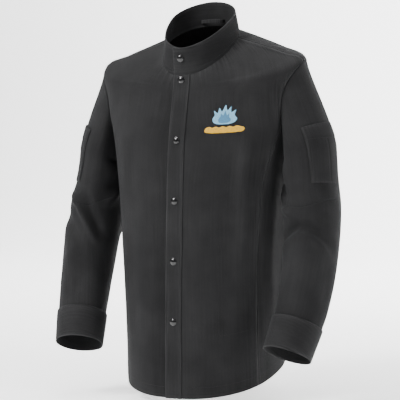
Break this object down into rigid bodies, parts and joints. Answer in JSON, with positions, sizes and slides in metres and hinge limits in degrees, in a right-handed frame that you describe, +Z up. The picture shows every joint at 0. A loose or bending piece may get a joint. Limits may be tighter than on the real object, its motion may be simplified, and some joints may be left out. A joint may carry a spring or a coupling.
{
  "type": "welding jacket",
  "caption": "Stand-collar welding jacket in flame-resistant cotton cloth, snap-closed lapped front, set-in sleeves with cuffs, sleeve pockets and an inside pocket.",
  "frame": {"origin": "middle of the back neck seam, where a neck or a hanger holds the jacket", "axes": "+Z up, the front faces -Y, the wearer's left is +X"},
  "size_m": [0.63, 0.3208, 0.8133],
  "materials": {
    "cloth": "matte flame-resistant cotton twill",
    "snap_metal": "glossy black enamel over brass",
    "emblem_thread": "embroidered rayon thread"
  },
  "bodies": {
    "shell": {"back_panel": "cloth", "left_side_panel": "cloth", "right_side_panel": "cloth", "collar_back": "cloth", "hanger_loop": "cloth"},
    "left_front": {"left_front_panel": "cloth", "left_placket": "cloth", "left_collar": "cloth", "inside_pocket": "cloth", "chest_emblem": "emblem_thread", "snap_cap_1": "snap_metal", "snap_cap_2": "snap_metal", "snap_cap_3": "snap_metal", "snap_cap_4": "snap_metal", "snap_cap_5": "snap_metal", "snap_cap_6": "snap_metal", "snap_socket_1": "snap_metal", "snap_socket_2": "snap_metal", "snap_socket_3": "snap_metal", "snap_socket_4": "snap_metal", "snap_socket_5": "snap_metal", "snap_socket_6": "snap_metal"},
    "right_front": {"right_front_panel": "cloth", "right_facing": "cloth", "right_collar": "cloth", "snap_stud_1": "snap_metal", "snap_stud_2": "snap_metal", "snap_stud_3": "snap_metal", "snap_stud_4": "snap_metal", "snap_stud_5": "snap_metal", "snap_stud_6": "snap_metal", "snap_post_1": "snap_metal", "snap_post_2": "snap_metal", "snap_post_3": "snap_metal", "snap_post_4": "snap_metal", "snap_post_5": "snap_metal", "snap_post_6": "snap_metal"},
    "left_arm": {"left_upper_sleeve": "cloth", "left_sleeve_pocket": "cloth"},
    "left_forearm": {"left_lower_sleeve": "cloth", "left_cuff": "cloth"},
    "right_arm": {"right_upper_sleeve": "cloth", "right_sleeve_pocket": "cloth"},
    "right_forearm": {"right_lower_sleeve": "cloth", "right_cuff": "cloth"}
  },
  "joints": [
    {"name": "left_front_opening", "type": "hinge", "parent": "shell", "child": "left_front", "pos_m": [0.238, -0.072, -0.065], "axis": [0.1017, 0.1191, 0.9877], "range_deg": [0, 32]},
    {"name": "right_front_opening", "type": "hinge", "parent": "shell", "child": "right_front", "pos_m": [-0.238, -0.072, -0.065], "axis": [0.1017, -0.1191, -0.9877], "range_deg": [0, 14]},
    {"name": "left_arm_raise", "type": "hinge", "parent": "shell", "child": "left_arm", "pos_m": [0.236, -0.059, -0.073], "axis": [0, -1, 0], "range_deg": [0, 45]},
    {"name": "right_arm_raise", "type": "hinge", "parent": "shell", "child": "right_arm", "pos_m": [-0.236, -0.059, -0.073], "axis": [0, 1, 0], "range_deg": [0, 45]},
    {"name": "left_elbow_bend", "type": "hinge", "parent": "left_arm", "child": "left_forearm", "pos_m": [0.253, -0.091, -0.44], "axis": [-1, 0, 0], "range_deg": [-10, 50]},
    {"name": "right_elbow_bend", "type": "hinge", "parent": "right_arm", "child": "right_forearm", "pos_m": [-0.253, -0.091, -0.44], "axis": [-1, 0, 0], "range_deg": [-10, 50]}
  ],
  "couplings": [
    {"joint": "right_front_opening", "follows": "left_front_opening", "ratio": 0.4}
  ]
}
